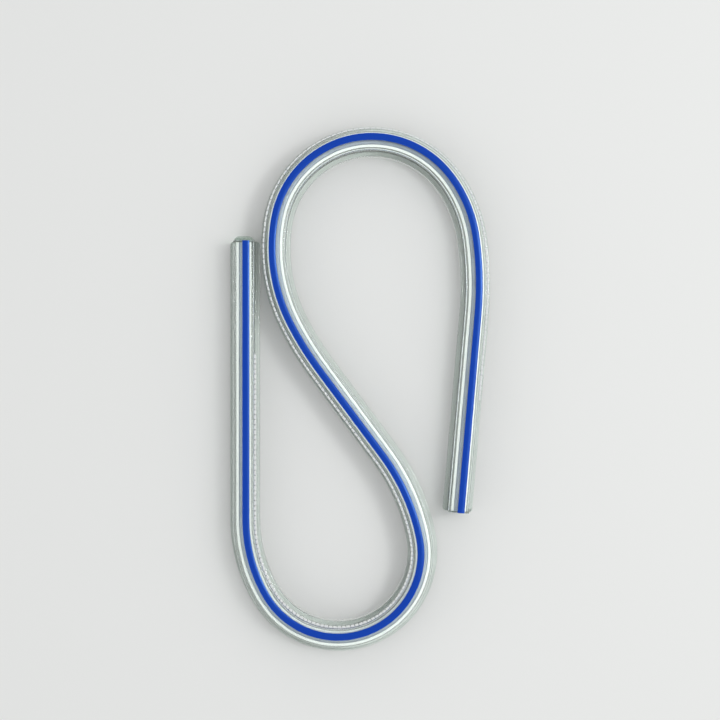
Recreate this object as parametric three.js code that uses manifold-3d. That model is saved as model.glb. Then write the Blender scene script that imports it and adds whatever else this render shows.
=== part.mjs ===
// Flexible curve ruler, bent into an S and lying on its base.
// Millimetres, +Z up. The ruler bends in the XY plane and its blue line faces up.
// Across the ruler, the plus side is the one that carries the scale.

import * as THREE from 'three';
import Module from 'manifold-3d';
import { mergeVertices } from 'three/addons/utils/BufferGeometryUtils.js';

// Route of the body's middle, from the start end to the finish end. Left turns are positive.
const startHeadingDegrees = -90;
const startStraightLength = 87.5;
const lowerEntryRadius = 48.2;
const lowerEntryDegrees = 29.7;
const lowerLoopRadius = 26.7;
const lowerLoopDegrees = 162;
const lowerExitRadius = 65.3;
const lowerExitDegrees = 25;
const diagonalLength = 33.3;
const upperEntryRadius = 103.9;
const upperEntryDegrees = -9.4;
const upperRiseRadius = 51.4;
const upperRiseDegrees = -37.8;
const upperLoopRadius = 30.1;
const upperLoopDegrees = -131.7;
const upperFallRadius = 40.2;
const upperFallDegrees = -29.8;
const upperExitRadius = 108.2;
const upperExitDegrees = -12.8;
const finishStraightLength = 62.4;
const stepDegrees = 6;

// Clear body: a stem on a wider base, whose ledges guide the pen and carry the scale.
const baseWidth = 9.3;
const baseHeight = 4.3;
const stemWidth = 6.5;
const bodyHeight = 10.8;
const footChamfer = 0.5;
const endCornerRadius = 1;
const endCornerSteps = 4;
const ledgeRadius = 0.45;
const ledgeArcSteps = 2;
const rootRadius = 0.35;
const rootArcSteps = 2;
const shoulderRadius = 1.1;
const shoulderArcSteps = 4;

// Pocket along the body, which holds the core.
const pocketFloor = 2.4;
const fitGap = 0.2;

// Core: a soft lead bar between two spring-steel strips.
const leadWidth = 2.9;
const coreHeight = 5.4;
const stripThickness = 0.7;

// Blue line: a crowned strip let into the top, off the middle towards the scale.
const stripeWidth = 2.2;
const stripeDepth = 0.5;
const stripeCrown = 0.25;
const stripeOffset = 0.75;
const stripeArcSteps = 4;

// Plugs that close the pocket. The start plug has a head outside the end, the finish plug is flush.
const plugPegLength = 0.6;
const plugHeadWidth = 6;
const plugHeadHeight = 7.4;
const plugHeadThickness = 1.2;
const plugHeadRadius = 1.1;
const plugHeadArcSteps = 6;

const pocketWidth = leadWidth + 2 * stripThickness + 4 * fitGap;
const pocketHeight = coreHeight + 2 * fitGap;
const coreInset = plugPegLength + fitGap;

const wasm = await Module();
wasm.setup();

// A stretch of the route that runs straight on.
function straight(length) {
  return { length, turn: 0 };
}

// A stretch of the route that turns by some degrees at a radius.
function bend(radius, degrees) {
  const turn = THREE.MathUtils.degToRad(degrees);
  return { length: radius * Math.abs(turn), turn };
}

const route = [
  straight(startStraightLength),
  bend(lowerEntryRadius, lowerEntryDegrees),
  bend(lowerLoopRadius, lowerLoopDegrees),
  bend(lowerExitRadius, lowerExitDegrees),
  straight(diagonalLength),
  bend(upperEntryRadius, upperEntryDegrees),
  bend(upperRiseRadius, upperRiseDegrees),
  bend(upperLoopRadius, upperLoopDegrees),
  bend(upperFallRadius, upperFallDegrees),
  bend(upperExitRadius, upperExitDegrees),
  straight(finishStraightLength),
];

// Places along the route, one at each end of a straight and one every few degrees of a bend.
function stationsAlong(stretches, headingDegrees) {
  const place = new THREE.Vector2(0, 0);
  let heading = THREE.MathUtils.degToRad(headingDegrees);
  const stations = [{ place: place.clone(), heading }];
  const stepTurn = THREE.MathUtils.degToRad(stepDegrees);
  for (const { length, turn } of stretches) {
    const steps = Math.max(1, Math.ceil(Math.abs(turn) / stepTurn));
    const halfTurn = turn / steps / 2;
    const chord = (length / steps) * (turn === 0 ? 1 : Math.sin(halfTurn) / halfTurn);
    for (let step = 0; step < steps; step += 1) {
      const chordHeading = heading + halfTurn;
      place.add(new THREE.Vector2(Math.cos(chordHeading), Math.sin(chordHeading)).multiplyScalar(chord));
      heading += 2 * halfTurn;
      stations.push({ place: place.clone(), heading });
    }
  }
  return stations;
}

const stations = stationsAlong(route, startHeadingDegrees);

// The same stations with both ends drawn in along the end straights.
function drawnIn(inset) {
  const last = stations.length - 1;
  return stations.map(({ place, heading }, index) => {
    const shift = index === 0 ? inset : index === last ? -inset : 0;
    const along = new THREE.Vector2(Math.cos(heading), Math.sin(heading)).multiplyScalar(shift);
    return { place: place.clone().add(along), heading };
  });
}

// Points of an arc round a centre, from one angle to another.
function arc(centreX, centreY, radius, fromDegrees, toDegrees, steps) {
  return Array.from({ length: steps + 1 }, (_, step) => {
    const angle = THREE.MathUtils.degToRad(fromDegrees + ((toDegrees - fromDegrees) * step) / steps);
    return new THREE.Vector2(centreX + radius * Math.cos(angle), centreY + radius * Math.sin(angle));
  });
}

// A rectangle's corners, counterclockwise.
function rectangle(left, right, bottom, top) {
  return [
    new THREE.Vector2(left, bottom),
    new THREE.Vector2(right, bottom),
    new THREE.Vector2(right, top),
    new THREE.Vector2(left, top),
  ];
}

// Sweeps a section along the stations. Its x runs across the ruler and its y runs up.
// Outlines are counterclockwise, and a station may have its own, with as many points.
// A hole, if there is one, runs right through from end to end.
function sweep(outline, places, hole = []) {
  const through = [...hole].reverse();
  const rings = [places[0].outline ?? outline, through];
  const section = rings.flat();
  const positions = [];
  for (const { place, heading, outline: own = outline } of places) {
    for (const point of [...own, ...through]) {
      positions.push(
        place.x - Math.sin(heading) * point.x,
        place.y + Math.cos(heading) * point.x,
        point.y,
      );
    }
  }
  const indices = [];
  for (let index = 0; index + 1 < places.length; index += 1) {
    const near = index * section.length;
    const far = near + section.length;
    let first = 0;
    for (const ring of rings) {
      ring.forEach((_, corner) => {
        const a = first + corner;
        const b = first + ((corner + 1) % ring.length);
        indices.push(near + a, near + b, far + a, near + b, far + b, far + a);
      });
      first += ring.length;
    }
  }
  const lastRing = (places.length - 1) * section.length;
  for (const [a, b, c] of THREE.ShapeUtils.triangulateShape(rings[0], hole.length ? [rings[1]] : [])) {
    indices.push(a, c, b, lastRing + a, lastRing + b, lastRing + c);
  }
  const geometry = new THREE.BufferGeometry();
  geometry.setAttribute('position', new THREE.Float32BufferAttribute(positions, 3));
  geometry.setIndex(indices);
  return geometry;
}

// One closed solid for the boolean join, from a mesh with only its positions.
function solidOf(geometry) {
  geometry.deleteAttribute('normal');
  geometry.deleteAttribute('uv');
  const merged = mergeVertices(geometry);
  return new wasm.Manifold(
    new wasm.Mesh({
      numProp: 3,
      vertProperties: new Float32Array(merged.attributes.position.array),
      triVerts: new Uint32Array(merged.index.array),
    }),
  );
}

function geometryOf(solid) {
  const mesh = solid.getMesh();
  const geometry = new THREE.BufferGeometry();
  geometry.setAttribute('position', new THREE.Float32BufferAttribute(mesh.vertProperties, 3));
  geometry.setIndex(Array.from(mesh.triVerts));
  return geometry;
}

function named(name, geometry, material) {
  const mesh = new THREE.Mesh(geometry, material);
  mesh.name = name;
  return mesh;
}

// The stations of the body, with more at each end, where the base is rounded off to the stem.
function bodyStations(outline) {
  const base = baseWidth / 2;
  const stem = stemWidth / 2;
  const rounded = Array.from({ length: endCornerSteps }, (_, step) => {
    const angle = THREE.MathUtils.degToRad((90 * step) / endCornerSteps);
    const shareLost = (endCornerRadius * (1 - Math.sin(angle))) / (base - stem);
    const own = outline.map(({ x, y }) => {
      const beyondStem = Math.max(0, Math.abs(x) - stem);
      return new THREE.Vector2(x - Math.sign(x) * beyondStem * shareLost, y);
    });
    return drawnIn(endCornerRadius * (1 - Math.cos(angle))).map((station) => ({ ...station, outline: own }));
  });
  return [
    ...rounded.map((places) => places[0]),
    ...drawnIn(endCornerRadius),
    ...rounded.map((places) => places[places.length - 1]).reverse(),
  ];
}

// Clear vinyl extrusion. The outline goes up the scale side, over the top and down the plain side.
function clearBody() {
  const base = baseWidth / 2;
  const stem = stemWidth / 2;
  const ledge = baseHeight - ledgeRadius;
  const root = baseHeight + rootRadius;
  const shoulder = bodyHeight - shoulderRadius;
  const grooveHalf = stripeWidth / 2 + fitGap;
  const grooveFloor = bodyHeight - stripeDepth - fitGap;
  const groove = rectangle(stripeOffset - grooveHalf, stripeOffset + grooveHalf, grooveFloor, bodyHeight);
  const outline = [
    new THREE.Vector2(-base + footChamfer, 0),
    new THREE.Vector2(base - footChamfer, 0),
    new THREE.Vector2(base, footChamfer),
    ...arc(base - ledgeRadius, ledge, ledgeRadius, 0, 90, ledgeArcSteps),
    ...arc(stem + rootRadius, root, rootRadius, 270, 180, rootArcSteps),
    ...arc(stem - shoulderRadius, shoulder, shoulderRadius, 0, 90, shoulderArcSteps),
    groove[2],
    groove[1],
    groove[0],
    groove[3],
    ...arc(shoulderRadius - stem, shoulder, shoulderRadius, 90, 180, shoulderArcSteps),
    ...arc(-stem - rootRadius, root, rootRadius, 0, -90, rootArcSteps),
    ...arc(ledgeRadius - base, ledge, ledgeRadius, 90, 180, ledgeArcSteps),
    new THREE.Vector2(-base, footChamfer),
  ];
  const pocket = rectangle(-pocketWidth / 2, pocketWidth / 2, pocketFloor, pocketFloor + pocketHeight);
  const clearVinyl = new THREE.MeshStandardMaterial({
    color: 0xdde6e2,
    roughness: 0.12,
    metalness: 0,
    transparent: true,
    opacity: 0.35,
  });
  return named('clear_body', sweep(outline, bodyStations(outline), pocket), clearVinyl);
}

// Blue line, flat below and crowned above, as long as the body.
function blueStripe() {
  const half = stripeWidth / 2;
  const crownRadius = (half * half + stripeCrown * stripeCrown) / (2 * stripeCrown);
  const crownCentre = bodyHeight + stripeCrown - crownRadius;
  const crownDegrees = THREE.MathUtils.radToDeg(Math.asin(half / crownRadius));
  const crown = arc(stripeOffset, crownCentre, crownRadius, 90 - crownDegrees, 90 + crownDegrees, stripeArcSteps);
  const floor = bodyHeight - stripeDepth;
  const outline = [
    new THREE.Vector2(stripeOffset - half, floor),
    new THREE.Vector2(stripeOffset + half, floor),
    ...crown,
  ];
  const blueVinyl = new THREE.MeshStandardMaterial({ color: 0x1e46b4, roughness: 0.25, metalness: 0 });
  return named('blue_stripe', sweep(outline, stations), blueVinyl);
}

// Lead bar and steel strips, which stand on edge and stop short of the plugs.
function corePieces() {
  const floor = pocketFloor + fitGap;
  const inner = drawnIn(coreInset);
  const leadHalf = leadWidth / 2;
  const stripNear = leadHalf + fitGap;
  const stripFar = stripNear + stripThickness;
  const lead = new THREE.MeshStandardMaterial({ color: 0x8d9096, roughness: 0.55, metalness: 0.8 });
  const steel = new THREE.MeshStandardMaterial({ color: 0xd9dcdf, roughness: 0.25, metalness: 1 });
  const bar = rectangle(-leadHalf, leadHalf, floor, floor + coreHeight);
  const scaleStrip = rectangle(stripNear, stripFar, floor, floor + coreHeight);
  const plainStrip = rectangle(-stripFar, -stripNear, floor, floor + coreHeight);
  return [
    named('lead_core', sweep(bar, inner), lead),
    named('steel_strip_scale_side', sweep(scaleStrip, inner), steel),
    named('steel_strip_plain_side', sweep(plainStrip, inner), steel),
  ];
}

// Peg that fills the pocket's mouth. Along its x it points out of the end.
function plugPeg(reach) {
  const width = pocketWidth - 2 * fitGap;
  const peg = new THREE.BoxGeometry(plugPegLength + reach, width, coreHeight);
  const middle = (reach - plugPegLength) / 2;
  return peg.translate(middle, 0, pocketFloor + pocketHeight / 2);
}

// Head of the start plug, its two outer corners rounded.
function plugHead() {
  const half = plugHeadWidth / 2;
  const front = fitGap + plugHeadThickness;
  const outline = new THREE.Shape([
    new THREE.Vector2(fitGap, -half),
    ...arc(front - plugHeadRadius, plugHeadRadius - half, plugHeadRadius, -90, 0, plugHeadArcSteps),
    ...arc(front - plugHeadRadius, half - plugHeadRadius, plugHeadRadius, 0, 90, plugHeadArcSteps),
    new THREE.Vector2(fitGap, half),
  ]);
  const head = new THREE.ExtrudeGeometry(outline, { depth: plugHeadHeight, bevelEnabled: false });
  return head.translate(0, 0, pocketFloor + pocketHeight / 2 - plugHeadHeight / 2);
}

function endPlugs() {
  const plugVinyl = new THREE.MeshStandardMaterial({
    color: 0xd5ded6,
    roughness: 0.2,
    metalness: 0,
    transparent: true,
    opacity: 0.5,
  });
  const start = stations[0];
  const finish = stations[stations.length - 1];
  const headedPlug = geometryOf(solidOf(plugPeg(fitGap + plugHeadThickness / 2)).add(solidOf(plugHead())));
  const startPlug = named('end_plug_start', headedPlug, plugVinyl);
  startPlug.position.set(start.place.x, start.place.y, 0);
  startPlug.rotation.z = start.heading + Math.PI;
  const finishPlug = named('end_plug_finish', plugPeg(0), plugVinyl);
  finishPlug.position.set(finish.place.x, finish.place.y, 0);
  finishPlug.rotation.z = finish.heading;
  return [startPlug, finishPlug];
}

const pieces = new THREE.Group();
pieces.add(clearBody(), blueStripe(), ...corePieces(), ...endPlugs());

// The origin is under the middle of the whole ruler, on the surface that it lies on.
const bounds = new THREE.Box3().setFromObject(pieces);
const middle = bounds.getCenter(new THREE.Vector3());
pieces.position.set(-middle.x, -middle.y, 0);

const ruler = new THREE.Group();
ruler.add(pieces);
ruler.updateMatrixWorld(true);

export default ruler;
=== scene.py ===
import math

import bmesh
import bpy
import numpy as np
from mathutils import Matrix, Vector
from mathutils.geometry import tessellate_polygon


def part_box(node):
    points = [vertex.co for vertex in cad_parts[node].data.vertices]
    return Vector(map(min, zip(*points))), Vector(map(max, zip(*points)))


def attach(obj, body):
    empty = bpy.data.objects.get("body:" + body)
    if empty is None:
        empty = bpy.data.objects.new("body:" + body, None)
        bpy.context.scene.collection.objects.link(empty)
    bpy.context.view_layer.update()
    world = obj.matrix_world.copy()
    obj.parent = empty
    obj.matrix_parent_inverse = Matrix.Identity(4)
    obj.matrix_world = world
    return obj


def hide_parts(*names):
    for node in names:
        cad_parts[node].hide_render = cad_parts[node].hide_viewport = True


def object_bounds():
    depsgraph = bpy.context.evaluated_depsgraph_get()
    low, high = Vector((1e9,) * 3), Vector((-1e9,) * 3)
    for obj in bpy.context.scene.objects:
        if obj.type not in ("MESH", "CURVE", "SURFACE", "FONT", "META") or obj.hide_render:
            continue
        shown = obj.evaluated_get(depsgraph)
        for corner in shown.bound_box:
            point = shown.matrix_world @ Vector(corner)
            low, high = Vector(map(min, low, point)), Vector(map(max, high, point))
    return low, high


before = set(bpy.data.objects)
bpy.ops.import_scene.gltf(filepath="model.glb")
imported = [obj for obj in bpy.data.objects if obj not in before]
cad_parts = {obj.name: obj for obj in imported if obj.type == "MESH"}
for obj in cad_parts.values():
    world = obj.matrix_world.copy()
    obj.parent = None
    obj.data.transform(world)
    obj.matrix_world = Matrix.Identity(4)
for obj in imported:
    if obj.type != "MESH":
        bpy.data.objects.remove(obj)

cad_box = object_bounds()
scene = bpy.context.scene

# Camera
# The ruler is seen from straight above, with its blue line towards a long lens,
# so that its flanks open out only a little towards the edges of the picture.
camera_height = 0.526
camera_across, camera_up = 0.00007, 0.00916
picture_width = 0.225
sensor_width = 36
camera = bpy.data.objects.new("camera", bpy.data.cameras.new("camera"))
camera.data.sensor_width = sensor_width
camera.data.lens = sensor_width * camera_height / picture_width
camera.data.clip_end = 20
camera.location = (camera_across, camera_up, cad_box[1].z + camera_height)
scene.collection.objects.link(camera)
scene.camera = camera

# Lead bar
# The heart of the ruler is a soft bar of extruded lead, which keeps whatever bend
# it is given. It lies loose in the pocket of the vinyl and follows its middle line.
lead_width = 0.0029
core_height = 0.0054
core_floor = 0.0026
core_cut_back = 0.0004
lead_corner = 0.00025
lead_dark = (0.30, 0.335, 0.41, 1)
lead_light = (0.46, 0.49, 0.56, 1)
lead_roughness = (0.34, 0.62)
lead_relief = (0.5, 0.00004)
lead_crease = 40
corner_segments = 4
route = (
    (0, 0.0875), (29.7, 0.0482), (162, 0.0267), (25, 0.0653), (0, 0.0333),
    (-9.4, 0.1039), (-37.8, 0.0514), (-131.7, 0.0301), (-29.8, 0.0402), (-12.8, 0.1082),
    (0, 0.0624),
)  # degrees of each bend with its radius, or no degrees and the length of a straight
start_heading = math.radians(-90)
head_reach = 0.0014
easing = 0.005
fine_step = 0.0002
station_step = 0.001


def route_stations():
    """Distance, place, heading and bend along the route, its bends eased into each other."""
    lengths = [size if turn == 0 else size * math.radians(abs(turn)) for turn, size in route]
    bends = [math.radians(turn) / length for (turn, _), length in zip(route, lengths)]
    total = sum(lengths)
    fine = np.linspace(0, total, round(total / fine_step) + 1)
    which = np.searchsorted(np.cumsum(lengths)[:-1], fine, side="right")
    window = round(easing / fine_step)
    padded = np.pad(np.array(bends)[which], window, mode="edge")
    eased = np.convolve(padded, np.ones(window) / window, mode="same")[window:-window]
    spacing = fine[1]
    middles = (eased[1:] + eased[:-1]) / 2
    heading = start_heading + np.concatenate(([0], np.cumsum(middles * spacing)))
    along = (heading[1:] + heading[:-1]) / 2
    low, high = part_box("end_plug_start")
    x = (low.x + high.x) / 2 + np.concatenate(([0], np.cumsum(np.cos(along) * spacing)))
    y = high.y - head_reach + np.concatenate(([0], np.cumsum(np.sin(along) * spacing)))
    distance = np.linspace(0, total, round(total / station_step) + 1)
    found = [np.interp(distance, fine, values) for values in (x, y, heading, eased)]
    return np.stack([distance] + found, axis=1)


stations = route_stations()

route_line = bpy.data.meshes.new("route_line")
route_line.from_pydata(
    [(x, y, 0) for _, x, y, _, _ in stations],
    [(i, i + 1) for i in range(len(stations) - 1)],
    [],
)
route_line.attributes.new("bend", "FLOAT", "POINT").data.foreach_set(
    "value", stations[:, 4].astype(np.float32)
)


def add_node(tree, kind, inputs=None, **settings):
    """One node, with its settings, and its inputs linked or set."""
    node = tree.nodes.new(kind)
    for name, value in settings.items():
        setattr(node, name, value)
    for name, value in (inputs or {}).items():
        if isinstance(value, bpy.types.NodeSocket):
            tree.links.new(value, node.inputs[name])
        else:
            node.inputs[name].default_value = value
    return node


def new_tree(name, kind, inputs, outputs):
    """A node group with named inputs and outputs, and the outputs of its input node."""
    tree = bpy.data.node_groups.new(name, kind)
    for label, socket in inputs:
        tree.interface.new_socket(label, in_out="INPUT", socket_type=socket)
    for label, socket in outputs:
        tree.interface.new_socket(label, in_out="OUTPUT", socket_type=socket)
    return tree, add_node(tree, "NodeGroupInput").outputs


def maths(tree, operation, *values):
    node = add_node(tree, "ShaderNodeMath", dict(enumerate(values)), operation=operation)
    return node.outputs[0]


def shifted(tree, tangent, across, up):
    """A shift to the left of a direction, and upwards."""
    left = add_node(
        tree, "ShaderNodeVectorMath", {0: (0, 0, 1), 1: tangent}, operation="CROSS_PRODUCT"
    ).outputs[0]
    aside = add_node(
        tree, "ShaderNodeVectorMath", {0: left, "Scale": across}, operation="SCALE"
    ).outputs[0]
    lift = add_node(tree, "ShaderNodeCombineXYZ", {"Z": up}).outputs[0]
    return add_node(
        tree, "ShaderNodeVectorMath", {0: aside, 1: lift}, operation="ADD"
    ).outputs[0]


def extrusion_tree():
    """A rounded bar along the route. Its section hangs upside down, so its crown is on -Y."""
    tree, given = new_tree(
        "bar_along_route",
        "GeometryNodeTree",
        [("Geometry", "NodeSocketGeometry")]
        + [(label, "NodeSocketFloat") for label in
           ("Width", "Height", "Corner Radius", "Crown", "Across", "Up", "Cut Back")]
        + [("Crown Cuts", "NodeSocketInt"), ("Material", "NodeSocketMaterial")],
        [("Geometry", "NodeSocketGeometry")],
    )
    curve = add_node(tree, "GeometryNodeMeshToCurve", {0: given["Geometry"]}).outputs[0]
    length = add_node(tree, "GeometryNodeCurveLength", {0: curve}).outputs[0]
    stop = maths(tree, "SUBTRACT", length, given["Cut Back"])
    curve = add_node(
        tree, "GeometryNodeTrimCurve", {0: curve, 4: given["Cut Back"], 5: stop}, mode="LENGTH"
    ).outputs[0]
    tangent = add_node(tree, "GeometryNodeInputTangent").outputs[0]
    shift = shifted(tree, tangent, given["Across"], given["Up"])
    curve = add_node(tree, "GeometryNodeSetPosition", {0: curve, "Offset": shift}).outputs[0]
    curve = add_node(tree, "GeometryNodeSetCurveNormal", {0: curve}, mode="Z_UP").outputs[0]
    distance = add_node(tree, "GeometryNodeSplineParameter").outputs["Length"]
    kept = add_node(tree, "GeometryNodeCaptureAttribute", {0: curve}, domain="POINT")
    kept.capture_items.new("FLOAT", "Distance")
    tree.links.new(distance, kept.inputs["Distance"])

    section = add_node(
        tree,
        "GeometryNodeCurvePrimitiveQuadrilateral",
        {"Width": given["Width"], "Height": given["Height"]},
        mode="RECTANGLE",
    ).outputs[0]
    section = add_node(
        tree,
        "GeometryNodeFilletCurve",
        {0: section, "Count": corner_segments, "Radius": given["Corner Radius"],
         "Limit Radius": True},
        mode="POLY",
    ).outputs[0]
    section = add_node(
        tree, "GeometryNodeSubdivideCurve", {0: section, "Cuts": given["Crown Cuts"]}
    ).outputs[0]
    place = add_node(tree, "GeometryNodeInputPosition").outputs[0]
    corners = add_node(tree, "ShaderNodeSeparateXYZ", {0: place}).outputs
    ratio = maths(tree, "DIVIDE", maths(tree, "MULTIPLY", corners["X"], 2.0), given["Width"])
    bulge = maths(tree, "SUBTRACT", 1.0, maths(tree, "MULTIPLY", ratio, ratio))
    upper = maths(tree, "LESS_THAN", corners["Y"], 0.0)
    rise = maths(tree, "MULTIPLY", maths(tree, "MULTIPLY", bulge, upper), given["Crown"])
    sink = add_node(
        tree, "ShaderNodeCombineXYZ", {"Y": maths(tree, "MULTIPLY", rise, -1.0)}
    ).outputs[0]
    section = add_node(tree, "GeometryNodeSetPosition", {0: section, "Offset": sink}).outputs[0]
    shape = add_node(tree, "GeometryNodeCaptureAttribute", {0: section}, domain="POINT")
    shape.capture_items.new("VECTOR", "Section")
    tree.links.new(place, shape.inputs["Section"])

    swept = add_node(
        tree,
        "GeometryNodeCurveToMesh",
        {"Curve": kept.outputs[0], "Profile Curve": shape.outputs[0], "Fill Caps": True},
    ).outputs[0]
    spot = add_node(tree, "ShaderNodeSeparateXYZ", {0: shape.outputs["Section"]}).outputs
    run = add_node(
        tree,
        "ShaderNodeCombineXYZ",
        {"X": kept.outputs["Distance"],
         "Y": maths(tree, "SUBTRACT", given["Across"], spot["X"]),
         "Z": maths(tree, "SUBTRACT", given["Up"], spot["Y"])},
    ).outputs[0]
    swept = add_node(
        tree,
        "GeometryNodeStoreNamedAttribute",
        {0: swept, "Name": "run", "Value": run},
        data_type="FLOAT_VECTOR",
        domain="POINT",
    ).outputs[0]
    swept = add_node(tree, "GeometryNodeRealizeInstances", {0: swept}).outputs[0]
    swept = add_node(
        tree, "GeometryNodeSetMaterial", {0: swept, "Material": given["Material"]}
    ).outputs[0]
    add_node(tree, "NodeGroupOutput", {0: swept})
    return tree


def made_by(tree, name, values, sharp_degrees):
    """The plain mesh that a tree makes from the route, riding on the ruler's one body."""
    carrier = bpy.data.objects.new("carrier", route_line)
    scene.collection.objects.link(carrier)
    modifier = carrier.modifiers.new("shape", "NODES")
    modifier.node_group = tree
    for item in tree.interface.items_tree:
        if item.in_out == "INPUT" and item.name in values:
            modifier[item.identifier] = values[item.name]
    bpy.context.view_layer.update()
    made = carrier.evaluated_get(bpy.context.evaluated_depsgraph_get())
    shape = bpy.data.meshes.new_from_object(made)
    shape.name = name
    bpy.data.objects.remove(carrier)
    shape.shade_smooth()
    shape.set_sharp_from_angle(angle=math.radians(sharp_degrees))
    piece = bpy.data.objects.new(name, shape)
    scene.collection.objects.link(piece)
    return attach(piece, "root")


def streaks_group():
    """Lines that a die or rolls leave along a bar, with blotches that fade them in and out."""
    tree, given = new_tree(
        "drawn_lines",
        "ShaderNodeTree",
        [("Vector", "NodeSocketVector"), ("Line Spacing", "NodeSocketFloat"),
         ("Line Length", "NodeSocketFloat"), ("Blotch Size", "NodeSocketFloat")],
        [("Lines", "NodeSocketFloat"), ("Blotches", "NodeSocketFloat")],
    )
    fine = maths(tree, "DIVIDE", 1.0, given["Line Spacing"])
    long = maths(tree, "DIVIDE", 1.0, given["Line Length"])
    spread = add_node(
        tree, "ShaderNodeCombineXYZ", {"X": long, "Y": fine, "Z": fine}
    ).outputs[0]
    stretched = add_node(
        tree, "ShaderNodeVectorMath", {0: given["Vector"], 1: spread}, operation="MULTIPLY"
    ).outputs[0]
    lines = add_node(
        tree, "ShaderNodeTexNoise",
        {"Vector": stretched, "Scale": 1.0, "Detail": 3.0, "Roughness": 0.6},
    ).outputs[0]
    blotches = add_node(
        tree, "ShaderNodeTexNoise",
        {"Vector": given["Vector"], "Detail": 4.0, "Roughness": 0.55,
         "Scale": maths(tree, "DIVIDE", 1.0, given["Blotch Size"])},
    ).outputs[0]
    add_node(tree, "NodeGroupOutput", {"Lines": lines, "Blotches": blotches})
    return tree


drawn_lines = streaks_group()


def new_material(name, spacing, line_length, blotch_size, along=True):
    """A material, its shader and output, and lines that follow the piece or fill space."""
    material = bpy.data.materials.new(name)
    material.use_nodes = True
    tree = material.node_tree
    tree.nodes.clear()
    if along:
        place = add_node(tree, "ShaderNodeAttribute", attribute_name="run").outputs["Vector"]
    else:
        place = add_node(tree, "ShaderNodeTexCoord").outputs["Object"]
    lines = add_node(
        tree, "ShaderNodeGroup",
        {"Vector": place, "Line Spacing": spacing, "Line Length": line_length,
         "Blotch Size": blotch_size},
        node_tree=drawn_lines,
    )
    shader = add_node(tree, "ShaderNodeBsdfPrincipled")
    output = add_node(tree, "ShaderNodeOutputMaterial", {"Surface": shader.outputs[0]})
    return material, tree, lines.outputs, shader, output


def coloured(tree, shader, share, first, second):
    """A base colour between two others."""
    node = add_node(tree, "ShaderNodeMix", {0: share, 6: first, 7: second}, data_type="RGBA")
    tree.links.new(node.outputs[2], shader.inputs["Base Color"])


def worn(tree, shader, dulling, roughness, raising, relief):
    """Roughness over a range, and relief of a strength and depth, as two masks tell."""
    rough = add_node(
        tree, "ShaderNodeMapRange",
        {"Value": dulling, "To Min": roughness[0], "To Max": roughness[1]},
    )
    tree.links.new(rough.outputs[0], shader.inputs["Roughness"])
    bump = add_node(
        tree, "ShaderNodeBump",
        {"Height": raising, "Strength": relief[0], "Distance": relief[1]},
    )
    tree.links.new(bump.outputs[0], shader.inputs["Normal"])


lead, tree, marks_of, shader, _ = new_material(
    "dull_extruded_lead", spacing=0.00022, line_length=0.03, blotch_size=0.0035
)
coloured(tree, shader, marks_of["Blotches"], lead_dark, lead_light)
worn(tree, shader, marks_of["Lines"], lead_roughness, marks_of["Lines"], lead_relief)
shader.inputs["Metallic"].default_value = 1.0

bar_along_route = extrusion_tree()
lead_bar = made_by(bar_along_route, "lead_bar", {
    "Width": lead_width, "Height": core_height, "Corner Radius": lead_corner,
    "Up": core_floor + core_height / 2, "Cut Back": core_cut_back, "Material": lead,
}, lead_crease)
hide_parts("lead_core")

# Steel strips
# Two strips of bright rolled spring steel stand on edge against the lead, so that the
# ruler springs into smooth curves and not into kinks. Rolling has rounded their edges.
strip_thickness = 0.0009
strip_edge = 0.00012
strip_gap = 0.00002
strip_crease = 50
steel_dark = (0.93, 0.93, 0.93, 1)
steel_light = (0.98, 0.98, 0.97, 1)
steel_roughness = (0.40, 0.60)
steel_relief = (0.3, 0.00002)
steel, tree, marks_of, shader, _ = new_material(
    "bright_rolled_steel", spacing=0.00009, line_length=0.2, blotch_size=0.006
)
coloured(tree, shader, marks_of["Blotches"], steel_dark, steel_light)
worn(tree, shader, marks_of["Lines"], steel_roughness, marks_of["Lines"], steel_relief)
shader.inputs["Metallic"].default_value = 1.0
for side, name in ((1, "scale_side"), (-1, "plain_side")):
    strip = made_by(bar_along_route, f"spring_strip_{name}", {
        "Width": strip_thickness, "Height": core_height, "Corner Radius": strip_edge,
        "Across": side * (lead_width / 2 + strip_gap + strip_thickness / 2),
        "Up": core_floor + core_height / 2, "Cut Back": core_cut_back, "Material": steel,
    }, strip_crease)
    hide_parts(f"steel_strip_{name}")

# Clear body
# One length of clear soft vinyl, extruded with a stem on a wider base. The ledges of
# the base guide the pen and a pocket holds the core. A knife cuts the ends, which leaves
# them dull, and their corners are rounded off.
base_width = 0.0093
base_height = 0.0043
stem_width = 0.0065
body_height = 0.0108
foot_radius = 0.0005
ledge_radius = 0.00045
root_radius = 0.00035
shoulder_radius = 0.0004
pocket_width = 0.0051
pocket_floor = 0.0024
pocket_height = 0.0058
pocket_corner = 0.0003
end_corner = 0.001
cut_edge = 0.00008
line_width = 0.0022
line_depth = 0.0005
line_across = 0.00075
bonded = 0.00003
foot_steps, ledge_steps, root_steps, shoulder_steps, pocket_steps = 4, 5, 4, 10, 3
end_angles = (35, 50, 65, 80)
body_crease = 35
vinyl_ior = 1.53
vinyl_tint = (0.88, 0.925, 0.90, 1)
vinyl_shadow = (0.93, 0.945, 0.935, 1)
vinyl_roughness = (0.0, 0.08)
vinyl_relief = (0.15, 0.00003)
cut_tint = (0.62, 0.70, 0.65, 1)
cut_clearness = 0.25
cut_roughness = (0.40, 0.62)
cut_relief = (0.4, 0.00003)


def arc(centre, radius, first, last, steps):
    angles = np.radians(np.linspace(first, last, steps + 1))
    x, y = centre
    return [(x + radius * math.cos(a), y + radius * math.sin(a)) for a in angles]


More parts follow.
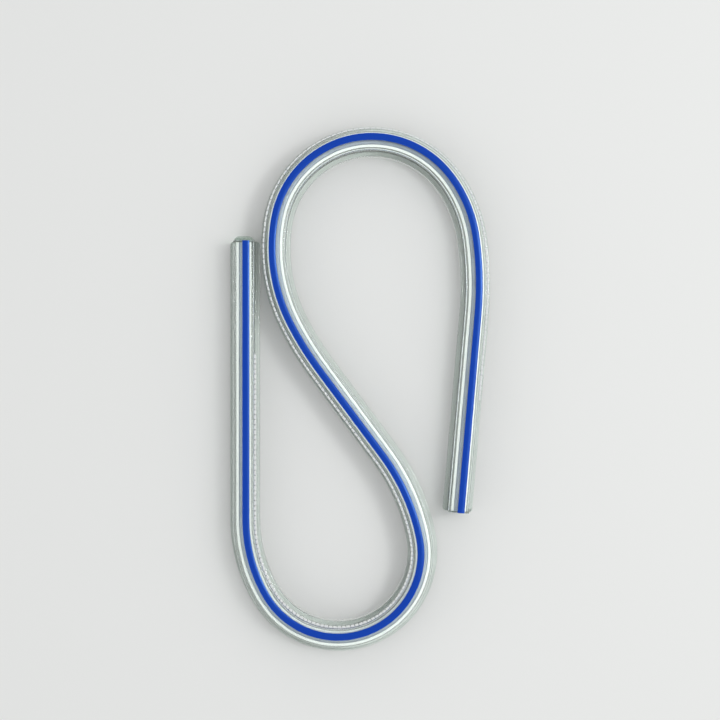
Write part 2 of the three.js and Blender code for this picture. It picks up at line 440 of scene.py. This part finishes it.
def body_outline():
    """The section's edge, counterclockwise. X runs across towards the scale, Y runs up."""
    base, stem = base_width / 2, stem_width / 2
    ledge = base_height - ledge_radius
    root = base_height + root_radius
    shoulder = body_height - shoulder_radius
    groove = line_width / 2 - bonded
    groove_floor = body_height - line_depth + bonded
    scale_side = (
        arc((base - foot_radius, foot_radius), foot_radius, 270, 360, foot_steps)
        + arc((base - ledge_radius, ledge), ledge_radius, 0, 90, ledge_steps)
        + arc((stem + root_radius, root), root_radius, 270, 180, root_steps)
        + arc((stem - shoulder_radius, shoulder), shoulder_radius, 0, 90, shoulder_steps)
    )
    plain_side = [(-x, y) for x, y in reversed(scale_side)]
    groove_edge = [(line_across + x, y) for x, y in
                   ((groove, body_height), (groove, groove_floor),
                    (-groove, groove_floor), (-groove, body_height))]
    return np.array(scale_side + groove_edge + plain_side)


def pocket_outline():
    """The pocket's edge, clockwise, with rounded corners."""
    half = pocket_width / 2 - pocket_corner
    low, high = pocket_floor + pocket_corner, pocket_floor + pocket_height - pocket_corner
    corners = (
        arc((half, low), pocket_corner, 270, 360, pocket_steps)
        + arc((half, high), pocket_corner, 0, 90, pocket_steps)
        + arc((-half, high), pocket_corner, 90, 180, pocket_steps)
        + arc((-half, low), pocket_corner, 180, 270, pocket_steps)
    )
    return np.array(corners[::-1])


def eased_in(ring, depth):
    """A ring moved into the material, which lies on the left of its direction."""
    step = np.roll(ring, -1, axis=0) - np.roll(ring, 1, axis=0)
    step /= np.linalg.norm(step, axis=1)[:, None]
    return ring + depth * np.stack([-step[:, 1], step[:, 0]], axis=1)


def station_at(distance):
    return [np.interp(distance, stations[:, 0], stations[:, k]) for k in range(4)]


def swept_body(name, outline, pocket):
    """The hollow body as a closed mesh, its base drawn in to the stem at both ends."""
    total = stations[-1, 0]
    stem = stem_width / 2
    ends = [0, cut_edge]
    ends += [end_corner * (1 - math.cos(math.radians(a))) for a in end_angles]
    places = ends + [d for d in stations[:, 0] if end_corner <= d <= total - end_corner]
    places += [total - d for d in reversed(ends)]
    rings, runs = [], []
    for distance in places:
        inset = min(distance, total - distance)
        drop = end_corner - math.sqrt(max(0, end_corner**2 - max(0, end_corner - inset) ** 2))
        share = 1 - drop / (base_width / 2 - stem)
        edge = outline.copy()
        beyond = np.maximum(0, np.abs(edge[:, 0]) - stem)
        edge[:, 0] -= np.sign(edge[:, 0]) * beyond * (1 - share)
        depth = cut_edge if inset == 0 else 0
        section = np.concatenate([eased_in(edge, depth), eased_in(pocket, depth)])
        across, up = section.T
        _, x, y, heading = station_at(distance)
        rings.append(np.stack(
            [x - math.sin(heading) * across, y + math.cos(heading) * across, up], axis=1
        ))
        runs.append(np.insert(section, 0, distance, axis=1))
    count = len(outline) + len(pocket)
    faces, dull = [], []
    outer = np.abs(outline[:, 0]) > base_width / 2 - foot_radius + cut_edge
    rounded = len(ends) - 1
    for index in range(len(rings) - 1):
        near = index * count
        at_end = not rounded <= index < len(rings) - 1 - rounded
        for first, size in ((0, len(outline)), (len(outline), len(pocket))):
            for k in range(size):
                a, b = near + first + k, near + first + (k + 1) % size
                faces.append((a, b, b + count, a + count))
                dull.append(int(at_end and first == 0 and outer[k] and outer[(k + 1) % size]))
    flat = [[Vector((x, y, 0)) for x, y in part] for part in (outline, pocket)]
    last = (len(rings) - 1) * count
    for a, b, c in tessellate_polygon(flat):
        faces += [(a, b, c), (last + a, last + c, last + b)]
        dull += [1, 1]
    shape = bpy.data.meshes.new(name)
    shape.from_pydata(np.concatenate(rings).tolist(), [], faces)
    shape.polygons.foreach_set("material_index", dull)
    shape.attributes.new("run", "FLOAT_VECTOR", "POINT").data.foreach_set(
        "vector", np.concatenate(runs).astype(np.float32).ravel()
    )
    work = bmesh.new()
    work.from_mesh(shape)
    bmesh.ops.recalc_face_normals(work, faces=work.faces)
    work.to_mesh(shape)
    work.free()
    shape.shade_smooth()
    shape.set_sharp_from_angle(angle=math.radians(body_crease))
    return shape


def lit_through(tree, shader, output, tint):
    """Lamps shine through a piece and only tint what lies under it."""
    letting = add_node(tree, "ShaderNodeBsdfTransparent", {"Color": tint}).outputs[0]
    ray = add_node(tree, "ShaderNodeLightPath").outputs["Is Shadow Ray"]
    passing = add_node(tree, "ShaderNodeMixShader", {0: ray, 1: shader.outputs[0], 2: letting})
    tree.links.new(passing.outputs[0], output.inputs["Surface"])


clear, tree, marks_of, shader, output = new_material(
    "clear_soft_vinyl", spacing=0.0014, line_length=0.6, blotch_size=0.012
)
shader.inputs["Base Color"].default_value = vinyl_tint
shader.inputs["Transmission Weight"].default_value = 1.0
shader.inputs["IOR"].default_value = vinyl_ior
worn(tree, shader, marks_of["Blotches"], vinyl_roughness, marks_of["Lines"], vinyl_relief)
lit_through(tree, shader, output, vinyl_shadow)

cut_face, tree, marks_of, shader, _ = new_material(
    "knife_cut_vinyl", spacing=0.0003, line_length=0.0003, blotch_size=0.0012
)
shader.inputs["Base Color"].default_value = cut_tint
shader.inputs["Transmission Weight"].default_value = cut_clearness
worn(tree, shader, marks_of["Blotches"], cut_roughness, marks_of["Lines"], cut_relief)

body_shape = swept_body("vinyl_body", body_outline(), pocket_outline())
body = bpy.data.objects.new("vinyl_body", body_shape)
body.data.materials.append(clear)
body.data.materials.append(cut_face)
scene.collection.objects.link(body)
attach(body, "root")
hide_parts("clear_body")

# Blue line
# A crowned strip of royal blue vinyl, which the same die presses into the top of the
# clear stem while both are hot, so that it is bonded there without a seam.
line_crown = 0.00025
line_corner = 0.00006
crown_cuts = 3
line_crease = 40
blue_deep = (0.007, 0.052, 0.435, 1)
blue_pale = (0.010, 0.097, 0.56, 1)
pale_share = 0.7
pale_from, pale_to = 0.38, 0.5  # of the line's width
blue_roughness = (0.14, 0.30)
blue_relief = (0.35, 0.00003)
blue_sheen = 0.75
blue_sheen_tint = (0.26, 0.55, 1.0, 1)
blue, tree, marks_of, shader, _ = new_material(
    "royal_blue_vinyl", spacing=0.00018, line_length=0.04, blotch_size=0.005
)
run = add_node(tree, "ShaderNodeAttribute", attribute_name="run").outputs["Vector"]
across = add_node(tree, "ShaderNodeSeparateXYZ", {0: run}).outputs["Y"]
aside = maths(tree, "ABSOLUTE", maths(tree, "SUBTRACT", across, line_across))
rim = add_node(
    tree, "ShaderNodeMapRange",
    {"Value": aside, "From Min": line_width * pale_from, "From Max": line_width * pale_to},
).outputs[0]
coloured(tree, shader, maths(tree, "MULTIPLY", rim, pale_share), blue_deep, blue_pale)
worn(tree, shader, marks_of["Blotches"], blue_roughness, marks_of["Lines"], blue_relief)
shader.inputs["IOR"].default_value = vinyl_ior
shader.inputs["Specular IOR Level"].default_value = blue_sheen
shader.inputs["Specular Tint"].default_value = blue_sheen_tint
blue_line = made_by(bar_along_route, "blue_line", {
    "Width": line_width, "Height": line_depth, "Corner Radius": line_corner,
    "Crown": line_crown, "Crown Cuts": crown_cuts, "Across": line_across,
    "Up": body_height - line_depth / 2, "Material": blue,
}, line_crease)
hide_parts("blue_stripe")

# End plugs
# Small mouldings of the same vinyl, milky from the mould, close the pocket. The one at
# the start has an arched head outside the end, and the other one lies flush in its mouth.
plug_fit = 0.0002
plug_peg = 0.0003
plug_head_width = 0.006
plug_head_height = 0.0074
plug_head_gap = 0.0002
plug_arch = 0.0018
plug_edge = 0.00015
flush_edge = 0.0001  # under half of the short peg, so that its two roundings don't meet
plug_edge_segments = 2
plug_crease = 40
plug_tint = (0.74, 0.82, 0.77, 1)
plug_shadow = (0.86, 0.89, 0.87, 1)
plug_clearness = 0.9
plug_ior = 1.5
plug_roughness = (0.16, 0.34)
plug_relief = (0.3, 0.00004)
milky, tree, marks_of, shader, output = new_material(
    "milky_moulded_vinyl", spacing=0.0008, line_length=0.0008, blotch_size=0.0015, along=False
)
shader.inputs["Base Color"].default_value = plug_tint
shader.inputs["Transmission Weight"].default_value = plug_clearness
shader.inputs["IOR"].default_value = plug_ior
worn(tree, shader, marks_of["Blotches"], plug_roughness, marks_of["Blotches"], plug_relief)
lit_through(tree, shader, output, plug_shadow)


def prism(work, outline, low, high):
    """A closed upright prism over a plan outline, which runs counterclockwise."""
    rings = [[work.verts.new((x, y, z)) for x, y in outline] for z in (low, high)]
    work.faces.new(rings[0][::-1])
    work.faces.new(rings[1])
    for k in range(len(outline)):
        n = (k + 1) % len(outline)
        work.faces.new((rings[0][k], rings[0][n], rings[1][n], rings[1][k]))


def plug(name, node, station, outward, headed):
    """A plug in one mouth of the pocket, its peg turned inwards from the cut."""
    _, x, y, heading = station
    forward = heading if outward > 0 else heading + math.pi
    peg = pocket_width / 2 - plug_fit
    middle = pocket_floor + pocket_height / 2
    top = core_floor + core_height
    crease = math.radians(plug_crease)
    work = bmesh.new()
    if headed:
        half = plug_head_width / 2
        front, back = head_reach, plug_head_gap
        depth = front - back
        root = back + 0.5 * depth
        sides = [math.radians(a) for a in range(0, 91, 10)]
        arch = [(back + depth * math.sin(a), half - plug_arch * (1 - math.cos(a)))
                for a in sides]
        outline = [(u, -v) for u, v in arch] + arch[::-1]
        neck = [(root, peg), (-plug_peg, peg), (-plug_peg, -peg), (root, -peg)]
        prism(work, outline, middle - plug_head_height / 2, middle + plug_head_height / 2)
        prism(work, neck, core_floor, top)
    else:
        prism(work, [(-plug_peg, -peg), (0, -peg), (0, peg), (-plug_peg, peg)], core_floor, top)
    bmesh.ops.recalc_face_normals(work, faces=work.faces)
    sharp = [edge for edge in work.edges if edge.calc_face_angle() > crease]
    bmesh.ops.bevel(
        work, geom=sharp, offset=plug_edge if headed else flush_edge,
        segments=plug_edge_segments, profile=0.5, affect="EDGES",
    )
    cos, sin = math.cos(forward), math.sin(forward)
    for vertex in work.verts:
        u, v, z = vertex.co
        vertex.co = (x + u * cos - v * sin, y + u * sin + v * cos, z)
    shape = bpy.data.meshes.new(name)
    work.to_mesh(shape)
    work.free()
    shape.shade_smooth()
    shape.set_sharp_from_angle(angle=crease)
    shape.materials.append(milky)
    piece = bpy.data.objects.new(name, shape)
    scene.collection.objects.link(piece)
    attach(piece, "root")
    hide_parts(node)


plug("plug_start", "end_plug_start", station_at(0), -1, True)
plug("plug_finish", "end_plug_finish", station_at(stations[-1, 0]), 1, False)

# Scale marks
# Raised white marks high on the stem, just under its scale-side shoulder, one to each
# sixteenth of an inch of the middle line. A wheel presses them onto the warm vinyl, and
# they crowd together inside a bend.
mark_pitch = 0.0015875
mark_count = 256
mark_length = 0.00146
mark_width = 0.0007
mark_across = 0.0035
mark_bed = 0.0082
mark_height = 0.0009
mark_corner = 0.00015
mark_wall = 0.6  # of the height, under a top that is drawn in
mark_top = 0.76
mark_weld = 0.000001
mark_crease = 60
wheel_least, wheel_most, wheel_seed = 0.95, 1.03, 4
white_dark = (0.88, 0.90, 0.89, 1)
white_light = (0.96, 0.97, 0.96, 1)
white_roughness = (0.42, 0.62)
white_relief = (0.3, 0.00004)


def marks_tree():
    """Pads at even steps of the middle line, with equal plain lengths left at both ends."""
    tree, given = new_tree(
        "pads_along_route",
        "GeometryNodeTree",
        [("Geometry", "NodeSocketGeometry"), ("Count", "NodeSocketInt")]
        + [(label, "NodeSocketFloat") for label in
           ("Pitch", "Across", "Up", "Pad Length", "Pad Width", "Pad Height", "Corner Radius")]
        + [("Material", "NodeSocketMaterial")],
        [("Geometry", "NodeSocketGeometry")],
    )
    curve = add_node(tree, "GeometryNodeMeshToCurve", {0: given["Geometry"]}).outputs[0]
    length = add_node(tree, "GeometryNodeCurveLength", {0: curve}).outputs[0]
    spots = add_node(tree, "GeometryNodePoints", {"Count": given["Count"]}).outputs[0]
    index = add_node(tree, "GeometryNodeInputIndex").outputs[0]
    span = maths(tree, "MULTIPLY", given["Count"], given["Pitch"])
    plain = maths(tree, "MULTIPLY", maths(tree, "SUBTRACT", length, span), 0.5)
    step = maths(tree, "MULTIPLY", maths(tree, "ADD", index, 0.5), given["Pitch"])
    bend = add_node(
        tree, "GeometryNodeInputNamedAttribute", {"Name": "bend"}, data_type="FLOAT"
    ).outputs["Attribute"]
    sample = add_node(
        tree, "GeometryNodeSampleCurve",
        {"Curves": curve, "Value": bend, "Length": maths(tree, "ADD", plain, step)},
        mode="LENGTH", data_type="FLOAT",
    ).outputs
    shift = shifted(tree, sample["Tangent"], given["Across"], given["Up"])
    spots = add_node(
        tree, "GeometryNodeSetPosition",
        {0: spots, "Position": sample["Position"], "Offset": shift},
    ).outputs[0]

    pad = add_node(
        tree, "GeometryNodeCurvePrimitiveQuadrilateral",
        {"Width": given["Pad Length"], "Height": given["Pad Width"]}, mode="RECTANGLE",
    ).outputs[0]
    pad = add_node(
        tree, "GeometryNodeFilletCurve",
        {0: pad, "Count": 1, "Radius": given["Corner Radius"], "Limit Radius": True},
        mode="POLY",
    ).outputs[0]
    pad = add_node(tree, "GeometryNodeFillCurve", {0: pad}, mode="NGONS").outputs[0]
    under = add_node(tree, "GeometryNodeFlipFaces", {0: pad}).outputs[0]
    wall = maths(tree, "MULTIPLY", given["Pad Height"], mark_wall)
    crown = maths(tree, "MULTIPLY", given["Pad Height"], 1 - mark_wall)
    walls = add_node(
        tree, "GeometryNodeExtrudeMesh", {0: pad, "Offset Scale": wall}, mode="FACES"
    ).outputs
    tops = add_node(
        tree, "GeometryNodeExtrudeMesh",
        {0: walls["Mesh"], "Selection": walls["Top"], "Offset Scale": crown}, mode="FACES",
    ).outputs
    drawn_in = add_node(
        tree, "GeometryNodeScaleElements",
        {0: tops["Mesh"], "Selection": tops["Top"], "Scale": mark_top}, domain="FACE",
    ).outputs[0]
    joined = add_node(tree, "GeometryNodeJoinGeometry")
    tree.links.new(under, joined.inputs[0])
    tree.links.new(drawn_in, joined.inputs[0])
    pad = add_node(
        tree, "GeometryNodeMergeByDistance", {0: joined.outputs[0], "Distance": mark_weld}
    ).outputs[0]

    direction = add_node(tree, "ShaderNodeSeparateXYZ", {0: sample["Tangent"]}).outputs
    turn = maths(tree, "ARCTAN2", direction["Y"], direction["X"])
    rotation = add_node(tree, "ShaderNodeCombineXYZ", {"Z": turn}).outputs[0]
    crowding = maths(
        tree, "SUBTRACT", 1.0, maths(tree, "MULTIPLY", sample["Value"], given["Across"])
    )
    uneven = add_node(
        tree, "FunctionNodeRandomValue",
        {2: wheel_least, 3: wheel_most, "ID": index, "Seed": wheel_seed}, data_type="FLOAT",
    ).outputs[1]
    size = add_node(
        tree, "ShaderNodeCombineXYZ",
        {"X": maths(tree, "MULTIPLY", crowding, uneven), "Y": uneven, "Z": 1.0},
    ).outputs[0]
    pads = add_node(
        tree, "GeometryNodeInstanceOnPoints",
        {"Points": spots, "Instance": pad, "Rotation": rotation, "Scale": size},
    ).outputs[0]
    pads = add_node(tree, "GeometryNodeRealizeInstances", {0: pads}).outputs[0]
    pads = add_node(
        tree, "GeometryNodeSetMaterial", {0: pads, "Material": given["Material"]}
    ).outputs[0]
    add_node(tree, "NodeGroupOutput", {0: pads})
    return tree


white, tree, marks_of, shader, _ = new_material(
    "pressed_white_pads", spacing=0.0004, line_length=0.0004, blotch_size=0.0006, along=False
)
coloured(tree, shader, marks_of["Blotches"], white_dark, white_light)
worn(tree, shader, marks_of["Lines"], white_roughness, marks_of["Blotches"], white_relief)
marks = made_by(marks_tree(), "scale_marks", {
    "Count": mark_count, "Pitch": mark_pitch, "Across": mark_across, "Up": mark_bed,
    "Pad Length": mark_length, "Pad Width": mark_width, "Pad Height": mark_height,
    "Corner Radius": mark_corner, "Material": white,
}, mark_crease)

# Studio
# A plain pale floor under a bright ceiling, with one soft lamp to the right of the
# ruler, as the light falls in its picture, a small bright one in its middle for the
# glints, and a weak one opposite.
floor_half = 4.0
floor_drop = 0.00002
floor_colour = (0.80, 0.81, 0.80, 1)
floor_roughness = 0.8
floor_sheen = 0.2
floor_shape = bpy.data.meshes.new("floor")
floor_shape.from_pydata(
    [(-floor_half, -floor_half, 0), (floor_half, -floor_half, 0),
     (floor_half, floor_half, 0), (-floor_half, floor_half, 0)],
    [], [(0, 1, 2, 3)],
)
floor = bpy.data.objects.new("floor", floor_shape)
floor.location.z = -floor_drop
scene.collection.objects.link(floor)
paper = bpy.data.materials.new("pale_floor")
paper.use_nodes = True
inputs = paper.node_tree.nodes["Principled BSDF"].inputs
inputs["Base Color"].default_value = floor_colour
inputs["Roughness"].default_value = floor_roughness
inputs["Specular IOR Level"].default_value = floor_sheen
floor_shape.materials.append(paper)


def soft_lamp(name, place, width, length, strength):
    """An oblong lamp that faces the ruler. At a strength of 1 its face looks white."""
    light = bpy.data.lights.new(name, "AREA")
    light.shape = "RECTANGLE"
    light.size = width
    light.size_y = length
    light.energy = strength * math.pi * width * length
    lamp = bpy.data.objects.new(name, light)
    lamp.location = place
    lamp.rotation_euler = (-Vector(place)).to_track_quat("-Z", "Y").to_euler()
    scene.collection.objects.link(lamp)


soft_lamp("lamp_right", (0.58, 0.12, 0.78), width=0.7, length=0.62, strength=1.45)
soft_lamp("lamp_glint", (0.57, 0.118, 0.767), width=0.16, length=0.16, strength=14)
soft_lamp("lamp_left", (-0.75, -0.10, 0.50), width=0.4, length=0.4, strength=0.6)

world = bpy.data.worlds.new("studio")
scene.world = world
world.use_nodes = True
tree = world.node_tree
tree.nodes.clear()
rays = add_node(tree, "ShaderNodeLightPath").outputs
direction = add_node(tree, "ShaderNodeTexCoord").outputs["Generated"]
height = add_node(tree, "ShaderNodeSeparateXYZ", {0: direction}).outputs["Z"]


def sky(low, high, horizon, overhead):
    """A brightness that goes from the horizon's to the overhead one between two heights."""
    return add_node(
        tree, "ShaderNodeMapRange",
        {"Value": height, "From Min": low, "From Max": high,
         "To Min": horizon, "To Max": overhead},
    ).outputs[0]


def seen_by(kind, otherwise, brightness):
    """One brightness for one kind of ray, and another for the rest."""
    return add_node(
        tree, "ShaderNodeMix", {0: rays[kind], 2: otherwise, 3: brightness}, data_type="FLOAT"
    ).outputs[0]


ceiling_light = 0.91
ceiling_seen = 0.9
mirrored_sky = sky(low=0.1, high=0.85, horizon=0.55, overhead=0.16)
refracted_sky = sky(low=0.2, high=0.85, horizon=0.42, overhead=1.75)
strength = seen_by("Is Glossy Ray", ceiling_light, mirrored_sky)
strength = seen_by("Is Transmission Ray", strength, refracted_sky)
strength = seen_by("Is Camera Ray", strength, ceiling_seen)
background = add_node(tree, "ShaderNodeBackground", {"Strength": strength}).outputs[0]
add_node(tree, "ShaderNodeOutputWorld", {"Surface": background})

scene.view_settings.view_transform = "Standard"
